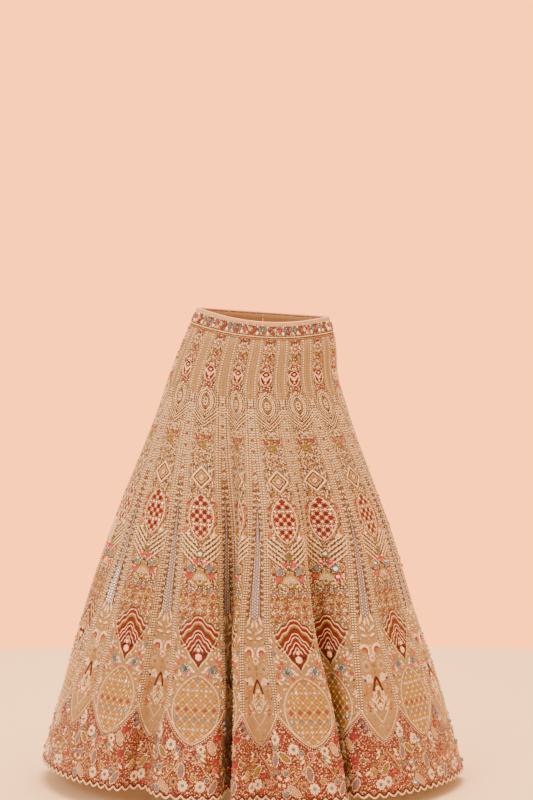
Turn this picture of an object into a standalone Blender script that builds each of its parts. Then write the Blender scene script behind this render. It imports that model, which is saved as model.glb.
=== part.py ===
"""A floor-length embroidered lehenga skirt, hollow, as it hangs when it is worn.

Sixteen wide and sixteen narrow kalis (flared gores) alternate under a straight waistband. They end in pointed
ogees, and a red border with a scalloped hem is set in below them. The cloth is worked out as one surface: at each
height the outer shape of the skirt is an oval, and folds take the spare cloth inwards from it. Each cut piece is
then a wall over its own stretch of that surface.

Metres, +Z up, the wearer's front towards -Y, so +X is on the viewer's right. The origin is the centre of the waist
opening, where the wearer holds the skirt up.
"""

import math
from collections import namedtuple

import bpy
import numpy as np

# Sizes of the garment
PAIRS = 16  # a wide and a narrow kali make a pair
LENGTH = 1.034  # waist edge to the top of the scallops, straight down
BAND_HEIGHT = 0.037
BORDER_PEAK = 0.857  # drop of the border's upper edge at a kali seam
BORDER_LOW = 0.925  # drop of that edge at the middle of a kali
SCALLOP_DEPTH = 0.009
KALI_WALL = 0.0022  # net, its backing and the embroidery together
BORDER_WALL = 0.0026
BAND_WALL = 0.0032
PIPING_RADIUS = 0.0027
SEAM_GAP = 0.0003  # between kalis, along the cloth
EDGE_GAP = 0.0006  # under the waistband, straight down
OGEE_GAP = 0.0012  # along the slanting ogee line, straight down
WAIST_TILT = 0.0105  # the viewer's left side of the skirt is this much above the middle
FRONT_DIP = 0.0235  # the waist edge falls this much lower at the front
OGEE_ROUND = 0.86  # the share of the ogee's fall that is a round arch, where the rest is its point

# How finely the walls are divided
WIDE_COLUMNS = 7
NARROW_COLUMNS = 5
KALI_ROWS = 8
BORDER_ROWS = 2
BAND_COLUMNS = 96
SCALLOP_COLUMNS = 2  # border columns on each kali column, which carry one scallop
PIPING_POINTS = 72
CLOTH_SAMPLES = 96  # on a pair of kalis, where the cloth surface is worked out
CLOTH_LEVELS = 90
WAVE_STEPS = 360  # along one fold wave
BEND_STEPS = 215
OVAL_STEPS = 1440  # round the skirt's oval
SHARP_EDGE = math.radians(40)  # edges sharper than this are shaded sharp

# The skirt's outer oval at each drop below the waist edge. Shift is how far its centre lies towards +X.
Oval = namedtuple("Oval", "drop half_width half_depth shift")
OVALS = (
    Oval(0.000, 0.154, 0.111, 0.000),
    Oval(0.040, 0.169, 0.124, -0.003),
    Oval(0.140, 0.194, 0.150, -0.019),
    Oval(0.220, 0.220, 0.180, -0.020),
    Oval(0.477, 0.321, 0.292, -0.023),
    Oval(0.685, 0.387, 0.364, -0.027),
    Oval(0.834, 0.432, 0.411, -0.023),
    Oval(1.060, 0.496, 0.474, -0.023),
)

# The wide kali's share of a pair at each drop, which is how the two gores are cut.
Cut = namedtuple("Cut", "drop wide_share")
CUTS = (
    Cut(0.00, 0.80),
    Cut(0.25, 0.79),
    Cut(0.46, 0.70),
    Cut(0.62, 0.66),
    Cut(0.84, 0.58),
    Cut(1.06, 0.57),
)

# Where the middle of wide kali 3 stands round the oval, in degrees from the front.
Turn = namedtuple("Turn", "drop degrees")
TURNED_KALI = 3
TURNS = (
    Turn(0.00, 7.0),
    Turn(0.10, 7.0),
    Turn(0.46, 13.5),
    Turn(0.70, 14.5),
    Turn(0.86, 16.4),
    Turn(1.06, 17.5),
)

# The folds, each a wave of the cloth inwards. Centre and length are in pairs along the cloth, and taken is the cloth
# that the fold swallows once it is full, also in pairs. It grows from one drop to another, and leans to the side
# that its lip covers.
Fold = namedtuple("Fold", "centre length taken start full lean")
FOLDS = (
    Fold(0.50, 0.60, 0.18, 0.20, 1.04, -0.35),
    Fold(1.69, 1.16, 0.87, 0.04, 0.80, 0.25),
    Fold(2.50, 0.48, 0.14, 0.02, 1.04, 0.00),
    Fold(3.76, 1.16, 0.88, 0.16, 1.04, -0.30),
    Fold(6.28, 1.04, 0.42, 0.20, 1.04, -0.20),
    Fold(7.42, 1.16, 0.55, 0.12, 1.04, 0.25),
    Fold(8.50, 0.96, 0.36, 0.28, 1.04, -0.15),
    Fold(9.58, 1.14, 0.54, 0.10, 1.04, 0.30),
    Fold(10.66, 0.96, 0.36, 0.26, 1.04, -0.25),
    Fold(11.78, 1.20, 0.58, 0.12, 1.04, 0.20),
    Fold(12.90, 0.98, 0.38, 0.28, 1.04, -0.20),
    Fold(14.02, 1.16, 0.52, 0.16, 1.04, 0.25),
)
FOLD_SOFTNESS = 0.045  # rounding of the fold lips, in pairs
MOST_BEND = 2.15  # radians a fold wave can swing each way before its sides would meet


def column(table, name):
    """One column of a table, as an array."""
    return np.array([getattr(row, name) for row in table], dtype=float)


def smooth_read(table, name, drop):
    """Reads a column at a drop along a smooth curve through the table's rows."""
    x = column(table, "drop")
    y = column(table, name)
    slope = np.gradient(y, x)
    i = int(np.clip(np.searchsorted(x, drop) - 1, 0, len(x) - 2))
    span = x[i + 1] - x[i]
    u = min(max((drop - x[i]) / span, 0.0), 1.0)
    return (
        y[i] * (2 * u**3 - 3 * u**2 + 1)
        + y[i + 1] * (3 * u**2 - 2 * u**3)
        + span * (slope[i] * (u**3 - 2 * u**2 + u) + slope[i + 1] * (u**3 - u**2))
    )


def ease(start, end, x):
    """0 up to start, 1 from end on, and a smooth step between."""
    u = np.clip((x - start) / (end - start), 0.0, 1.0)
    return u * u * (3 - 2 * u)


def fold_wave(bend):
    """One wave of a strip that swings its direction by bend radians each way: how far it gets and how deep."""
    phase = np.linspace(0.0, 2 * math.pi, WAVE_STEPS + 1)
    swing = bend * np.sin(phase)
    step = phase[1] - phase[0]
    along = np.concatenate(([0.0], np.cumsum(np.cos((swing[1:] + swing[:-1]) / 2)))) * step
    depth = np.concatenate(([0.0], np.cumsum(np.sin((swing[1:] + swing[:-1]) / 2)))) * step
    return phase, along, depth


def bend_table():
    """The share of its length that a wave still covers, for bends up to where its sides would meet."""
    bends = np.linspace(0.0, MOST_BEND, BEND_STEPS + 1)
    shares = np.array([fold_wave(bend)[1][-1] / (2 * math.pi) for bend in bends])
    return bends, shares


def soften(values):
    """Rounds a closed row of samples over the fold softness."""
    turns = np.fft.rfftfreq(len(values), d=1.0 / CLOTH_SAMPLES)
    return np.fft.irfft(np.fft.rfft(values) * np.exp(-2 * (math.pi * FOLD_SOFTNESS * turns) ** 2), len(values))


class Cloth:
    """The skirt's outer surface, by cloth position in pairs and drop below the waist edge."""

    def __init__(self):
        self.bends, self.shares = bend_table()
        self.position = np.arange(PAIRS * CLOTH_SAMPLES) / CLOTH_SAMPLES
        self.drops = np.linspace(0.0, LENGTH + 2 * SCALLOP_DEPTH, CLOTH_LEVELS)
        rows = [self.level(drop) for drop in self.drops]
        self.points = np.array([row[0] for row in rows])
        self.pair_width = np.array([row[1] for row in rows])
        self.normals = self.find_normals()

    def folded(self, drop):
        """Cloth swallowed up to each position, depth below the oval and sideways lean, all in pairs."""
        lost = np.zeros(len(self.position))
        depth = np.zeros(len(self.position))
        aside = np.zeros(len(self.position))
        for fold in FOLDS:
            taken = fold.taken * ease(fold.start, fold.full, drop)
            bend = np.interp(-(1 - taken / fold.length), -self.shares, self.bends)
            phase, along, wave = fold_wave(bend)
            first = fold.centre - fold.length / 2
            here = np.clip((self.position - first) / fold.length, 0.0, 1.0)
            scale = fold.length / (2 * math.pi)
            lost += here * fold.length - scale * np.interp(here * 2 * math.pi, phase, along)
            deep = scale * np.interp(here * 2 * math.pi, phase, wave)
            depth += deep
            aside += fold.lean * deep
        total = sum(fold.taken * ease(fold.start, fold.full, drop) for fold in FOLDS)
        even = total * self.position / PAIRS
        return soften(lost - even) + even, soften(depth), soften(aside), total

    def level(self, drop):
        """Points of the cloth along one drop, and the width of a pair there."""
        half_width = smooth_read(OVALS, "half_width", drop)
        half_depth = smooth_read(OVALS, "half_depth", drop)
        shift = smooth_read(OVALS, "shift", drop)
        turn = np.linspace(-math.pi, math.pi, OVAL_STEPS + 1)
        x = half_width * np.sin(turn)
        y = -half_depth * np.cos(turn)
        arc = np.concatenate(([0.0], np.cumsum(np.hypot(np.diff(x), np.diff(y)))))
        lost, depth, aside, total = self.folded(drop)
        width = arc[-1] / (PAIRS - total)
        fixed = math.radians(smooth_read(TURNS, "degrees", drop))
        covered = self.position - lost
        start = np.interp(fixed, turn, arc) - width * covered[TURNED_KALI * CLOTH_SAMPLES]
        place = (start + width * (covered + aside)) % arc[-1]
        angle = np.interp(place, arc, turn)
        out_x = half_depth * np.sin(angle)
        out_y = -half_width * np.cos(angle)
        size = np.hypot(out_x, out_y)
        inwards = width * depth
        px = shift + half_width * np.sin(angle) - inwards * out_x / size
        py = -half_depth * np.cos(angle) - inwards * out_y / size
        left_up = -WAIST_TILT * np.sin(angle)
        dip = FRONT_DIP * np.maximum(np.cos(angle), 0.0) ** 2 * max(0.0, 1 - drop / LENGTH)
        return np.stack([px, py, left_up - dip - drop], axis=1), width

    def find_normals(self):
        """The unit normal at each sample, pointing out of the skirt."""
        along = np.roll(self.points, -1, axis=1) - np.roll(self.points, 1, axis=1)
        down = np.gradient(self.points, axis=0)
        normal = np.cross(down, along)
        return normal / np.linalg.norm(normal, axis=2, keepdims=True)

    def read(self, grid, position, drop):
        """A grid's value between its samples."""
        level = np.clip(drop / (self.drops[1] - self.drops[0]), 0.0, CLOTH_LEVELS - 1.001)
        across = (position % PAIRS) * CLOTH_SAMPLES
        i, j = int(level), int(across)
        u, v = level - i, across - j
        n = len(self.position)
        near = grid[i, j % n] * (1 - v) + grid[i, (j + 1) % n] * v
        far = grid[i + 1, j % n] * (1 - v) + grid[i + 1, (j + 1) % n] * v
        return near * (1 - u) + far * u

    def pair(self, drop):
        """Width of a pair of kalis at a drop, in metres."""
        return float(np.interp(drop, self.drops, self.pair_width))

    def point(self, position, drop, inset=0.0):
        """A point of the outer face, or one that is inset into the wall."""
        out = self.read(self.points, position, drop)
        normal = self.read(self.normals, position, drop)
        return out - inset * normal / np.linalg.norm(normal)


def wide_share(drop):
    """The wide kali's share of a pair."""
    return smooth_read(CUTS, "wide_share", drop)


def ogee(share):
    """Drop of the border's upper edge, from a kali seam (0) to the kali's middle (1)."""
    fall = OGEE_ROUND * math.sin(share * math.pi / 2) + (1 - OGEE_ROUND) * share**4
    return BORDER_PEAK + (BORDER_LOW - BORDER_PEAK) * fall


def edge_share(across):
    """How far a place across a kali is from its nearer seam, from 0 to 1 at the middle."""
    return 1 - abs(2 * across - 1)


def kali_position(number, wide, across, drop, gap):
    """Cloth position of a place across a kali, kept half a seam gap from its two seams."""
    share = wide_share(drop)
    centre = number if wide else number + 0.5
    half = (share if wide else 1 - share) / 2 - gap
    return centre + (2 * across - 1) * half


def wall(name, outer, inner, material, collection):
    """A closed wall between two grids of points, which are given as rows."""
    rows, columns = len(outer), len(outer[0])
    verts = [tuple(p) for row in outer for p in row] + [tuple(p) for row in inner for p in row]
    back = rows * columns
    faces = []
    for r in range(rows - 1):
        for c in range(columns - 1):
            a = r * columns + c
            b = a + columns
            faces.append((a, b, b + 1, a + 1))
            faces.append((back + a, back + a + 1, back + b + 1, back + b))
    # Each edge of the wall is split the same way as the edge that it meets, so that the two never cross.
    last = (rows - 1) * columns
    for r in range(rows - 1):
        for c, right in ((0, False), (columns - 1, True)):
            upper, lower = r * columns + c, (r + 1) * columns + c
            slit = [(upper, lower, back + lower), (upper, back + lower, back + upper)]
            faces += slit if right else [face[::-1] for face in slit]
    for c in range(columns - 1):
        for near, bottom in ((c, False), (last + c, True)):
            slit = [(near, near + 1, back + near + 1), (near, back + near + 1, back + near)]
            faces += [face[::-1] for face in slit] if bottom else slit
    mesh = bpy.data.meshes.new(name)
    mesh.from_pydata(verts, [], faces)
    mesh.materials.append(material)
    mesh.validate()
    mesh.shade_smooth()
    mesh.set_sharp_from_angle(angle=SHARP_EDGE)
    piece = bpy.data.objects.new(name, mesh)
    collection.objects.link(piece)
    return piece


def kali(cloth, number, wide, material, collection):
    """One gore, from the waistband down to its ogee point."""
    columns = WIDE_COLUMNS if wide else NARROW_COLUMNS
    top = BAND_HEIGHT + EDGE_GAP / 2
    outer, inner = [], []
    for r in range(KALI_ROWS + 1):
        spots = []
        for c in range(columns + 1):
            across = c / columns
            end = ogee(edge_share(across)) - OGEE_GAP / 2
            drop = top + (end - top) * r / KALI_ROWS
            gap = SEAM_GAP / 2 / cloth.pair(drop)
            spots.append((kali_position(number, wide, across, drop, gap), drop))
        outer.append([cloth.point(*spot) for spot in spots])
        inner.append([cloth.point(*spot, inset=KALI_WALL) for spot in spots])
    kind = "wide" if wide else "narrow"
    return wall(f"{kind}_kali_{number + 1:02d}", outer, inner, material, collection)


def border(cloth, number, material, collection):
    """A length of the hem border, below one wide kali and the narrow one beside it."""
    outer, inner = [], []
    for r in range(BORDER_ROWS + 1):
        face, back = [], []
        for wide, columns in ((True, WIDE_COLUMNS), (False, NARROW_COLUMNS)):
            fine = columns * SCALLOP_COLUMNS
            for c in range(0 if wide else 1, fine + 1):
                near, far = c // SCALLOP_COLUMNS, -(-c // SCALLOP_COLUMNS)
                lobe = SCALLOP_DEPTH * math.sin(math.pi * (c % SCALLOP_COLUMNS) / SCALLOP_COLUMNS)
                ends = []
                for step in (near, far):
                    across = step / columns
                    start = ogee(edge_share(across)) + OGEE_GAP / 2
                    drop = start + (LENGTH - start) * r / BORDER_ROWS
                    joined = (wide and step == 0) or (not wide and step == columns)
                    gap = SEAM_GAP / 2 / cloth.pair(drop) if joined else 0.0
                    ends.append((kali_position(number, wide, across, drop, gap), drop))
                spot = tuple((a + b) / 2 for a, b in zip(*ends))
                if r == BORDER_ROWS:
                    spot = (spot[0], spot[1] + lobe)
                if r == 0 and near != far:
                    face.append(sum(cloth.point(*end) for end in ends) / 2)
                    back.append(sum(cloth.point(*end, inset=BORDER_WALL) for end in ends) / 2)
                else:
                    face.append(cloth.point(*spot))
                    back.append(cloth.point(*spot, inset=BORDER_WALL))
        outer.append(face)
        inner.append(back)
    return wall(f"hem_border_{number + 1:02d}", outer, inner, material, collection)


def back_seam(cloth, drop):
    """Cloth position of the centre back, where the waistband's ends meet."""
    ring = cloth.points[int(drop / cloth.drops[1])]
    return cloth.position[int(np.argmax(ring[:, 1]))]


def waistband(cloth, material, collection):
    """The straight band, whose two ends meet over the placket at the centre back."""
    seam = back_seam(cloth, BAND_HEIGHT / 2)
    end_gap = SEAM_GAP / cloth.pair(BAND_HEIGHT / 2)
    outer, inner = [], []
    for drop in (0.0, BAND_HEIGHT / 2, BAND_HEIGHT - EDGE_GAP / 2):
        across = np.linspace(seam + end_gap, seam + PAIRS - end_gap, BAND_COLUMNS + 1)
        outer.append([cloth.point(p, drop) for p in across])
        inner.append([cloth.point(p, drop, inset=BAND_WALL) for p in across])
    return wall("waistband", outer, inner, material, collection)


def waist_piping(cloth, material, collection):
    """A rolled cord that lies on the waistband's top edge."""
    lift = PIPING_RADIUS + SEAM_GAP
    curve = bpy.data.curves.new("waist_piping", "CURVE")
    curve.dimensions = "3D"
    curve.bevel_depth = PIPING_RADIUS
    curve.bevel_resolution = 1
    line = curve.splines.new("POLY")
    line.points.add(PIPING_POINTS - 1)
    line.use_cyclic_u = True
    for i, spot in enumerate(line.points):
        x, y, z = cloth.point(i * PAIRS / PIPING_POINTS, 0.0, inset=BAND_WALL / 2)
        spot.co = (x, y, z + lift, 1.0)
    curve.materials.append(material)
    piece = bpy.data.objects.new("waist_piping", curve)
    collection.objects.link(piece)
    return piece


def cloth_material(name, colour, roughness):
    """A plain cloth finish in linear colour."""
    material = bpy.data.materials.new(name)
    material.use_nodes = True
    shader = material.node_tree.nodes["Principled BSDF"]
    shader.inputs["Base Color"].default_value = (*colour, 1.0)
    shader.inputs["Roughness"].default_value = roughness
    shader.inputs["Metallic"].default_value = 0.0
    shader.inputs["Sheen Weight"].default_value = 0.2
    return material


def build():
    """Clears the scene and makes every piece of the skirt."""
    for thing in list(bpy.data.objects):
        bpy.data.objects.remove(thing, do_unlink=True)
    collection = bpy.data.collections.new("lehenga_skirt")
    bpy.context.scene.collection.children.link(collection)
    tan_net = cloth_material("embroidered_net", (0.53, 0.33, 0.17), 0.6)
    rust_net = cloth_material("border_net", (0.42, 0.07, 0.03), 0.6)
    band_cloth = cloth_material("waistband_cloth", (0.58, 0.40, 0.26), 0.6)
    piping_cloth = cloth_material("piping_silk", (0.78, 0.42, 0.32), 0.45)

    cloth = Cloth()
    waistband(cloth, band_cloth, collection)
    waist_piping(cloth, piping_cloth, collection)
    for number in range(PAIRS):
        kali(cloth, number, True, tan_net, collection)
        kali(cloth, number, False, tan_net, collection)
        border(cloth, number, rust_net, collection)


build()
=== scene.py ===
"""The looks of a floor-length embroidered lehenga skirt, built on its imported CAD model."""

import math
from collections import namedtuple

import bpy
import numpy as np
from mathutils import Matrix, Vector


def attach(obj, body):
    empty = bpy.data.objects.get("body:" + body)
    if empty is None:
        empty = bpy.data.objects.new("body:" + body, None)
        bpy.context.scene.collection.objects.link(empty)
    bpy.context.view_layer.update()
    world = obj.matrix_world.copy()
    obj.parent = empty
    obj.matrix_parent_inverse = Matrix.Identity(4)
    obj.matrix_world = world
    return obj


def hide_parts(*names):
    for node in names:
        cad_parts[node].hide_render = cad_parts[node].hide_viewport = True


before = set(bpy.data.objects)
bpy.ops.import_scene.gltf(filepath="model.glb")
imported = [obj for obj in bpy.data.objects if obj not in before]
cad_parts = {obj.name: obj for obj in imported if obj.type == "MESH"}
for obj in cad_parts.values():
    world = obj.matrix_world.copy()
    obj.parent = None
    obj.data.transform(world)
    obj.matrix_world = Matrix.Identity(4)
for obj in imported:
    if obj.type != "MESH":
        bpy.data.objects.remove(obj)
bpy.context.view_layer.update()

# The hanging cloth
# The whole skirt is one surface, cut into gores. Its outer shape is an oval at each height, and folds take the
# spare cloth inwards. A place on it is a cloth position, counted in pairs of gores, and a drop below the waist.
PAIRS = 16
LENGTH = 1.034  # waist edge to the top of the scallops, straight down
BAND_HEIGHT = 0.037
BORDER_PEAK = 0.857  # drop of the border's upper edge at a seam
BORDER_LOW = 0.925  # and at the middle of a gore
SCALLOP_DEPTH = 0.009
SEAM_GAP = 0.0003
EDGE_GAP = 0.0006
OGEE_GAP = 0.0012
OGEE_ROUND = 0.86
WAIST_TILT = 0.0105
FRONT_DIP = 0.0235
SAMPLES = 96  # on a pair, where the surface is worked out
LEVELS = 90
FOLD_SOFTNESS = 0.045  # rounding of the fold lips, in pairs
MOST_BEND = 2.15

Oval = namedtuple("Oval", "drop half_width half_depth shift")
OVALS = (
    Oval(0.000, 0.154, 0.111, 0.000),
    Oval(0.040, 0.169, 0.124, -0.003),
    Oval(0.140, 0.194, 0.150, -0.019),
    Oval(0.220, 0.220, 0.180, -0.020),
    Oval(0.477, 0.321, 0.292, -0.023),
    Oval(0.685, 0.387, 0.364, -0.027),
    Oval(0.834, 0.432, 0.411, -0.023),
    Oval(1.060, 0.496, 0.474, -0.023),
)
Cut = namedtuple("Cut", "drop wide_share")
CUTS = (Cut(0.00, 0.80), Cut(0.25, 0.79), Cut(0.46, 0.70), Cut(0.62, 0.66), Cut(0.84, 0.58), Cut(1.06, 0.57))
Turn = namedtuple("Turn", "drop degrees")
TURNED_GORE = 3
TURNS = (Turn(0.00, 7.0), Turn(0.10, 7.0), Turn(0.46, 13.5), Turn(0.70, 14.5), Turn(0.86, 16.4),
         Turn(1.06, 17.5))
Fold = namedtuple("Fold", "centre length taken start full lean")
FOLDS = (
    Fold(0.50, 0.60, 0.18, 0.20, 1.04, -0.35),
    Fold(1.69, 1.16, 0.87, 0.04, 0.80, 0.25),
    Fold(2.50, 0.48, 0.14, 0.02, 1.04, 0.00),
    Fold(3.76, 1.16, 0.88, 0.16, 1.04, -0.30),
    Fold(6.28, 1.04, 0.42, 0.20, 1.04, -0.20),
    Fold(7.42, 1.16, 0.55, 0.12, 1.04, 0.25),
    Fold(8.50, 0.96, 0.36, 0.28, 1.04, -0.15),
    Fold(9.58, 1.14, 0.54, 0.10, 1.04, 0.30),
    Fold(10.66, 0.96, 0.36, 0.26, 1.04, -0.25),
    Fold(11.78, 1.20, 0.58, 0.12, 1.04, 0.20),
    Fold(12.90, 0.98, 0.38, 0.28, 1.04, -0.20),
    Fold(14.02, 1.16, 0.52, 0.16, 1.04, 0.25),
)


def smooth_read(table, name, drop):
    """Reads a column at a drop along a smooth curve through the table's rows."""
    x = np.array([row.drop for row in table])
    y = np.array([getattr(row, name) for row in table])
    slope = np.gradient(y, x)
    i = np.clip(np.searchsorted(x, drop) - 1, 0, len(x) - 2)
    span = x[i + 1] - x[i]
    u = np.clip((drop - x[i]) / span, 0.0, 1.0)
    return (
        y[i] * (2 * u**3 - 3 * u**2 + 1)
        + y[i + 1] * (3 * u**2 - 2 * u**3)
        + span * (slope[i] * (u**3 - 2 * u**2 + u) + slope[i + 1] * (u**3 - u**2))
    )


def ease(start, end, x):
    """0 up to start, 1 from end on, and a smooth step between."""
    u = np.clip((x - start) / (end - start), 0.0, 1.0)
    return u * u * (3 - 2 * u)


def fold_wave(bend):
    """One wave of a strip that swings its direction by bend radians each way: how far it gets and how deep."""
    phase = np.linspace(0.0, 2 * math.pi, 361)
    swing = bend * np.sin(phase)
    step = phase[1] - phase[0]
    along = np.concatenate(([0.0], np.cumsum(np.cos((swing[1:] + swing[:-1]) / 2)))) * step
    depth = np.concatenate(([0.0], np.cumsum(np.sin((swing[1:] + swing[:-1]) / 2)))) * step
    return phase, along, depth


def soften(values):
    """Rounds a closed row of samples over the fold softness."""
    turns = np.fft.rfftfreq(len(values), d=1.0 / SAMPLES)
    return np.fft.irfft(np.fft.rfft(values) * np.exp(-2 * (math.pi * FOLD_SOFTNESS * turns) ** 2), len(values))


class HangingCloth:
    """The skirt's outer surface, by cloth position in pairs and drop below the waist edge."""

    def __init__(self):
        self.bends = np.linspace(0.0, MOST_BEND, 216)
        self.shares = np.array([fold_wave(bend)[1][-1] / (2 * math.pi) for bend in self.bends])
        self.position = np.arange(PAIRS * SAMPLES) / SAMPLES
        self.drops = np.linspace(0.0, LENGTH + 2 * SCALLOP_DEPTH, LEVELS)
        rows = [self.level(drop) for drop in self.drops]
        self.points = np.array([row[0] for row in rows])
        self.widths = np.array([row[1] for row in rows])
        along = np.roll(self.points, -1, axis=1) - np.roll(self.points, 1, axis=1)
        normal = np.cross(np.gradient(self.points, axis=0), along)
        self.normals = normal / np.linalg.norm(normal, axis=2, keepdims=True)

    def level(self, drop):
        """Points of the cloth along one drop, and the width of a pair there."""
        lost, depth, aside = (np.zeros(len(self.position)) for _ in range(3))
        total = 0.0
        for fold in FOLDS:
            taken = fold.taken * ease(fold.start, fold.full, drop)
            total += taken
            phase, along, wave = fold_wave(np.interp(-(1 - taken / fold.length), -self.shares, self.bends))
            here = np.clip((self.position - fold.centre) / fold.length + 0.5, 0.0, 1.0) * 2 * math.pi
            scale = fold.length / (2 * math.pi)
            lost += scale * (here - np.interp(here, phase, along))
            depth += scale * np.interp(here, phase, wave)
            aside += fold.lean * scale * np.interp(here, phase, wave)
        even = total * self.position / PAIRS
        lost, depth, aside = soften(lost - even) + even, soften(depth), soften(aside)

        half_width, half_depth = smooth_read(OVALS, "half_width", drop), smooth_read(OVALS, "half_depth", drop)
        turn = np.linspace(-math.pi, math.pi, 1441)
        arc = np.hypot(np.diff(half_width * np.sin(turn)), np.diff(half_depth * np.cos(turn)))
        arc = np.concatenate(([0.0], np.cumsum(arc)))
        width = arc[-1] / (PAIRS - total)
        covered = self.position - lost
        start = np.interp(math.radians(smooth_read(TURNS, "degrees", drop)), turn, arc)
        place = start + width * (covered + aside - covered[TURNED_GORE * SAMPLES])
        angle = np.interp(place % arc[-1], arc, turn)
        out_x, out_y = half_depth * np.sin(angle), -half_width * np.cos(angle)
        inwards = width * depth / np.hypot(out_x, out_y)
        x = smooth_read(OVALS, "shift", drop) + half_width * np.sin(angle) - inwards * out_x
        y = -half_depth * np.cos(angle) - inwards * out_y
        dip = FRONT_DIP * np.maximum(np.cos(angle), 0.0) ** 2 * max(0.0, 1 - drop / LENGTH)
        return np.stack([x, y, -WAIST_TILT * np.sin(angle) - dip - drop], axis=1), width

    def read(self, grid, position, drop):
        """A grid's values between its samples."""
        level = np.clip(drop / self.drops[1], 0.0, LEVELS - 1.001)
        across = (position % PAIRS) * SAMPLES
        i, j = level.astype(int), across.astype(int)
        u, v = (level - i)[..., None], (across - j)[..., None]
        n = len(self.position)
        near = grid[i, j % n] * (1 - v) + grid[i, (j + 1) % n] * v
        far = grid[i + 1, j % n] * (1 - v) + grid[i + 1, (j + 1) % n] * v
        return near * (1 - u) + far * u

    def place(self, position, drop, rise=0.0):
        """Points that stand proud of the outer face by rise."""
        normal = self.read(self.normals, position, drop)
        normal /= np.linalg.norm(normal, axis=-1, keepdims=True)
        return self.read(self.points, position, drop) + np.asarray(rise)[..., None] * normal

    def pair(self, drop):
        """Width of a pair of gores at a drop."""
        return np.interp(drop, self.drops, self.widths)


cloth = HangingCloth()


def ogee(share):
    """Drop of the border's upper edge, from a seam (0) to the middle of a gore (1)."""
    fall = OGEE_ROUND * np.sin(share * math.pi / 2) + (1 - OGEE_ROUND) * share**4
    return BORDER_PEAK + (BORDER_LOW - BORDER_PEAK) * fall


# The wide gores
# Sixteen flared gores of fine tan net on a woven backing, worked all over with thread, beads and stones before
# they are sewn up. Net and backing are about 2 mm thick with the thread in them, and hang from the waistband.
KALI_WALL = 0.0022
WIDE_COLUMNS = 14
GORE_ROWS = 40
NET_TAN = "A8916C"
NET_SHADE = "907650"
NET_PAINTED_SHADE = "4A2E18"  # painted shade: the net darkened where close beads would shade it
THREAD_CREAM = "EEDAC0"
THREAD_GOLD = "B8945F"
BACKING_BEIGE = "B8946A"
NET_PITCH = 0.002  # the real holes are under 1 mm, so they are drawn wider to show at all
BEAD_PITCH = 0.0034


def linear(colour):
    """An sRGB hex colour as linear red, green, blue and alpha."""
    values = [int(colour[i : i + 2], 16) / 255 for i in (0, 2, 4)]
    return (*[v / 12.92 if v <= 0.04045 else ((v + 0.055) / 1.055) ** 2.4 for v in values], 1.0)


def add_node(tree, kind, sockets=None, **settings):
    """Adds a node with its settings, and fills its sockets with values or with links from other sockets."""
    made = tree.nodes.new(kind)
    for name, value in settings.items():
        setattr(made, name, value)
    for name, value in (sockets or {}).items():
        if isinstance(value, bpy.types.NodeSocket):
            tree.links.new(value, made.inputs[name])
        else:
            made.inputs[name].default_value = value
    return made


def start_material(name, colour, roughness, **more):
    """A material with one Principled shader."""
    material = bpy.data.materials.new(name)
    material.use_nodes = True
    shader = material.node_tree.nodes["Principled BSDF"]
    shader.inputs["Base Color"].default_value = linear(colour)
    shader.inputs["Roughness"].default_value = roughness
    for socket, value in more.items():
        shader.inputs[socket.replace("_", " ")].default_value = value
    return material


def colour_steps(tree, fac, stops):
    """Bands of even colour, from a list of (place, hex colour)."""
    ramp = add_node(tree, "ShaderNodeValToRGB", {"Fac": fac})
    ramp.color_ramp.interpolation = "CONSTANT"
    while len(ramp.color_ramp.elements) < len(stops):
        ramp.color_ramp.elements.new(1.0)
    for element, (place, colour) in zip(ramp.color_ramp.elements, stops):
        element.position = place
        element.color = linear(colour)
    return ramp.outputs["Color"]


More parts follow.
